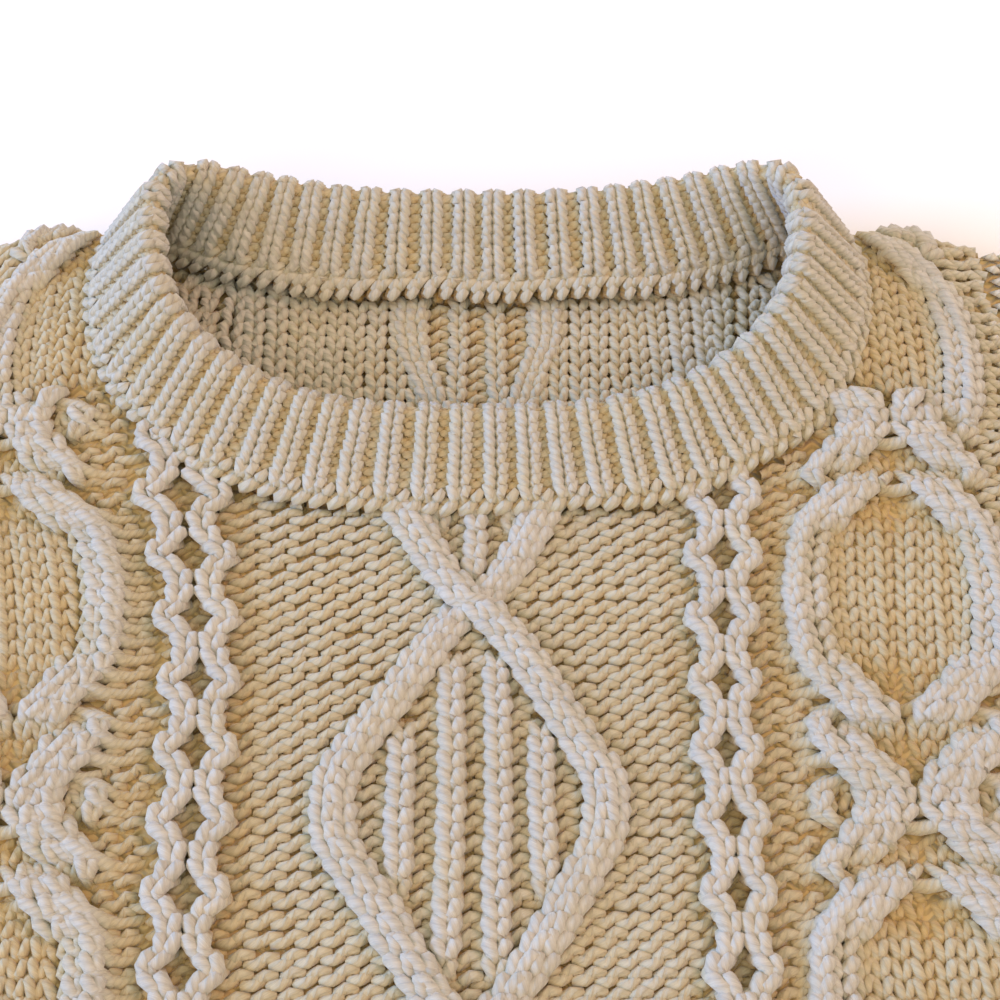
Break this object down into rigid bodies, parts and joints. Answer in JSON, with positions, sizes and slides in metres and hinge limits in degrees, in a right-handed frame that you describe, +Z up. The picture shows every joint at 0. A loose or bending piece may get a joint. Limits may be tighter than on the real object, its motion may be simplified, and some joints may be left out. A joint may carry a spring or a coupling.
{
  "type": "cable knit sweater",
  "caption": "Cream cable knit sweater laid flat: double ribbed crew neck, diamond, wave and side cables, long sleeves, ribbed cuffs and hem.",
  "frame": {"origin": "under the middle of the whole sweater, on the surface that it lies on", "axes": "+X to the wearer's left, +Y from the hem to the neck, +Z up, out of the front"},
  "size_m": [1.1388, 0.6582, 0.0321],
  "materials": {
    "cable_wool": "thick three-ply cream wool, cables over reverse stocking stitch, soft and matt",
    "rib_wool": "thick three-ply cream wool, knit-one purl-one rib, soft and matt"
  },
  "bodies": {
    "root": {"front": "cable_wool", "back": "cable_wool", "neckband": "rib_wool", "sleeve_left": "cable_wool", "sleeve_right": "cable_wool", "cuff_left": "rib_wool", "cuff_right": "rib_wool", "hem_front": "rib_wool", "hem_back": "rib_wool"}
  },
  "joints": []
}
